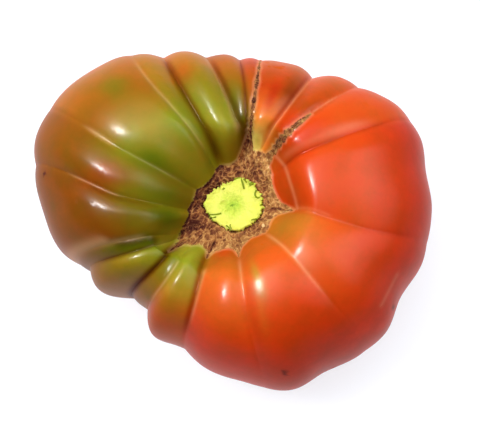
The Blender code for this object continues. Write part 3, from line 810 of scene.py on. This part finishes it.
painted = {"Base Color": colour, "Roughness": roughness, "Coat Weight": coat, "Normal": bump}
for socket, output in painted.items():
    tree.links.new(output, shader.inputs[socket])
set_up(shader, {
    "Coat Roughness": 0.22, "Coat IOR": 1.38, "IOR": 1.09,
    "Subsurface Weight": 0.25, "Subsurface Radius": (1.0, 0.35, 0.15), "Subsurface Scale": 0.003,
})
fruit.data.materials.clear()
fruit.data.materials.append(skin)
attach(fruit, "root")
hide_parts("fruit")

# The torn stem: the soft green core that stayed in the socket when the stalk was pulled off, its top
# torn into fibres, its edge ragged with small teeth.
STUB_GAP = 0.0003  # between it and its socket
STUB_RISE = 0.0009
STUB_TOP = SCAR_HEIGHT + STUB_RISE
STUB_BASE = SCAR_HEIGHT - SOCKET_DEPTH + STUB_GAP
STUB_COLUMNS = 360
TOP_SHARE = 0.93  # of its reach, where the flat of its top starts
# Its section, as shares of its reach and heights, from the middle of its base to its top.
STUB_PROFILE = (
    (0.45, STUB_BASE), (0.90, STUB_BASE), (0.95, STUB_BASE + 0.0008), (0.98, SCAR_HEIGHT),
    (1.00, STUB_TOP - 0.0005), (0.97, STUB_TOP), (TOP_SHARE, STUB_TOP + 0.0001),
)
STUB_RINGS_IN = 36
TOP_SAG = 0.0006
PIT = 0.0010  # the depth of the small pit in its middle
TOOTH = 0.0010
FIBRE = 0.0006
LUMP = 0.0019
TORN_HEIGHT = 0.0005
stub_rings = list(STUB_PROFILE)
for n in range(1, STUB_RINGS_IN):
    stub_rings.append((TOP_SHARE * (1 - n / STUB_RINGS_IN), STUB_TOP - TOP_SAG * n / STUB_RINGS_IN))

bpy.ops.object.select_all(action="DESELECT")
STUB_BALL = 0.01
bpy.ops.mesh.primitive_uv_sphere_add(
    segments=STUB_COLUMNS, ring_count=len(stub_rings) + 1, radius=STUB_BALL
)
stub = bpy.context.object
stub.name = "torn_core"
for vertex in stub.data.vertices:
    from_base = math.acos(max(-1, min(1, -vertex.co.z / STUB_BALL))) / math.pi
    ring = round(from_base * (len(stub_rings) + 1)) - 1
    azimuth = math.degrees(math.atan2(vertex.co.y, vertex.co.x)) % 360
    if ring < 0:
        vertex.co = (*STEM_AXIS, STUB_BASE)
        continue
    if ring >= len(stub_rings):
        vertex.co = (*STEM_AXIS, STUB_TOP - PIT)
        continue
    share, height = stub_rings[ring]
    angle = math.radians(azimuth)
    around = Vector((math.cos(angle), math.sin(angle), 0))
    small_teeth = abs(noise.noise(around * 17 + Vector((3, 1, 2))))
    tooth = 1.3 * abs(noise.noise(around * 7)) + 0.9 * small_teeth - 0.35
    rim = float(stub_edge(azimuth)) - STUB_GAP
    on_edge = 1 if share > 0.9 and height > STUB_BASE + 0.001 else 0
    reach = (rim + on_edge * TOOTH * tooth) * share
    place = around * reach
    place.z = height
    if height > SCAR_HEIGHT and ring > 3:
        torn = 0.8 * abs(noise.noise(place / FIBRE)) - 0.2 + noise.noise(place / LUMP)
        place.z += TORN_HEIGHT * torn
    vertex.co = place + Vector((*STEM_AXIS, 0))
bpy.ops.object.mode_set(mode="EDIT")
bpy.ops.mesh.select_all(action="SELECT")
bpy.ops.mesh.normals_make_consistent(inside=False)
bpy.ops.object.mode_set(mode="OBJECT")
bpy.ops.object.shade_smooth()

# Fresh stem pith: soft, translucent yellow-green tissue, greener in its middle and at its torn edge. The
# torn fibres scatter the light, so it has no gloss. They are drawn 0.9 mm across, to show.
PITH_MIDDLE = (0.0, 0.0010, 0.0462)
FIBRES = 1100.0
FIBRE_SHIFT = 0.0045  # how far the fibres carry one colour into the next
MIDDLE_GREEN, EDGE_GREEN = 0.0018, 0.0125  # radii where the colours start and end
PITH_STOPS = (
    (0.02, "#5E8A18"), (0.09, "#A6C83C"), (0.24, "#CADC50"), (0.45, "#E4EA6C"),
    (0.72, "#DCE25C"), (0.90, "#B4CC3E"), (1.00, "#7E9A2A"),
)
pith = bpy.data.materials.new("fresh_stem_pith")
pith.use_nodes = True
tree = pith.node_tree
shader = tree.nodes["Principled BSDF"]
where = add_node(tree, "ShaderNodeTexCoord", {}, {}).outputs["Object"]
centred = add_node(
    tree, "ShaderNodeMapping", {"Location": [-part for part in PITH_MIDDLE]}, {"Vector": where}
).outputs[0]
from_middle = add_node(tree, "ShaderNodeVectorMath", {"operation": "LENGTH"}, {0: centred}).outputs["Value"]
torn = {"Scale": FIBRES, "Detail": 4.0, "Distortion": 0.8}
fibres = add_node(tree, "ShaderNodeTexNoise", torn, {"Vector": where}).outputs["Fac"]
shifted = add_node(
    tree, "ShaderNodeMath", {"operation": "MULTIPLY_ADD", 1: FIBRE_SHIFT}, {0: fibres, 2: from_middle}
).outputs[0]
spread = add_node(
    tree, "ShaderNodeMapRange", {"From Min": MIDDLE_GREEN, "From Max": EDGE_GREEN}, {"Value": shifted}
).outputs[0]
pith_colour = add_node(
    tree, "ShaderNodeValToRGB", {"stops": [(place, linear(code)) for place, code in PITH_STOPS]}, {0: spread}
).outputs[0]
bump = add_node(tree, "ShaderNodeBump", {"Strength": 0.8, "Distance": 0.0004}, {"Height": fibres}).outputs[0]
tree.links.new(pith_colour, shader.inputs["Base Color"])
tree.links.new(bump, shader.inputs["Normal"])
set_up(shader, {
    "Roughness": 0.6, "IOR": 1.12,
    "Subsurface Weight": 0.3, "Subsurface Radius": (0.8, 1.0, 0.3), "Subsurface Scale": 0.001,
})
stub.data.materials.append(pith)
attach(stub, "root")
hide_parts("stem_stub")

# The shreds: strips of darker green bark that tore loose with the stalk and lie curled over the core.
# Each is a thin strand with its half width, drawn along its path, in mm from above, and sunk to half its
# thickness.
SHREDS = (
    (0.26, ((2.0, 8.6), (2.6, 7.2), (3.0, 5.6))),
    (0.22, ((2.9, 8.2), (3.3, 7.8), (3.7, 7.2))),
    (0.42, ((4.4, 6.6), (4.9, 6.8), (5.4, 7.0))),
    (0.24, ((6.4, 5.1), (5.8, 4.2), (5.8, 3.2), (6.6, 2.7), (7.3, 3.2))),
    (0.24, ((7.4, 0.7), (7.7, 1.1), (8.0, 1.2))),
    (0.20, ((5.0, -3.4), (5.3, -2.9), (5.8, -3.3), (6.1, -2.8), (6.6, -2.9))),
    (0.20, ((-1.9, -4.7), (-1.2, -5.1), (-0.6, -6.1))),
    (0.18, ((-0.7, -4.4), (-0.9, -5.0), (-0.4, -5.6))),
    (0.24, ((-6.6, -1.6), (-5.2, -1.9), (-4.2, -1.6), (-3.2, -1.3))),
    (0.20, ((-6.2, -2.4), (-5.4, -2.6), (-4.6, -2.4))),
    (0.30, ((-2.9, 5.4), (-2.6, 5.5), (-2.4, 5.7))),
    (0.34, ((0.3, 8.2), (1.1, 8.5), (1.9, 8.6))),
)
STRAND_LIFT = 0.00008
STRAND_DROP = 0.0008  # the furthest that one sags below the core's top
bpy.ops.object.select_all(action="DESELECT")
strands = []
for half_width, path in SHREDS:
    bpy.ops.curve.primitive_nurbs_path_add(location=(0, 0, 0))
    strand = bpy.context.object
    along = np.linspace(0, len(path) - 1, len(strand.data.splines[0].points))
    for knot, at in zip(strand.data.splines[0].points, along):
        x, y = (float(np.interp(at, range(len(path)), [place[n] for place in path])) * MM for n in (0, 1))
        above = (x, y, STUB_TOP + 0.003)
        # It lies on the core or on the cork beside it, and bridges the narrow gap between them.
        lies_at = max(under.ray_cast(above, (0, 0, -1))[1].z for under in (stub, fruit))
        knot.co = (x, y, max(lies_at, STUB_TOP - STRAND_DROP) + STRAND_LIFT, 1)
    strand.data.bevel_depth = half_width * MM
    strand.data.bevel_resolution = 2
    strand.data.use_fill_caps = True
    bpy.ops.object.convert(target="MESH")
    bpy.ops.object.mode_set(mode="EDIT")
    bpy.ops.mesh.select_all(action="SELECT")
    bpy.ops.mesh.remove_doubles(threshold=0.000001)
    bpy.ops.mesh.normals_make_consistent(inside=False)
    bpy.ops.object.mode_set(mode="OBJECT")
    strands.append(strand)
for strand in strands:
    strand.select_set(True)
bpy.ops.object.join()
shreds = bpy.context.object
shreds.name = "torn_shreds"
bpy.ops.object.shade_smooth()
# Fresh green bark, torn: darker and duller than the pith, with no gloss.
BARK_GREEN = "#7E920C"
bark = bpy.data.materials.new("torn_green_bark")
bark.use_nodes = True
shader = bark.node_tree.nodes["Principled BSDF"]
set_up(shader, {"Base Color": linear(BARK_GREEN), "Roughness": 0.7, "IOR": 1.15})
shreds.data.materials.append(bark)
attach(shreds, "root")
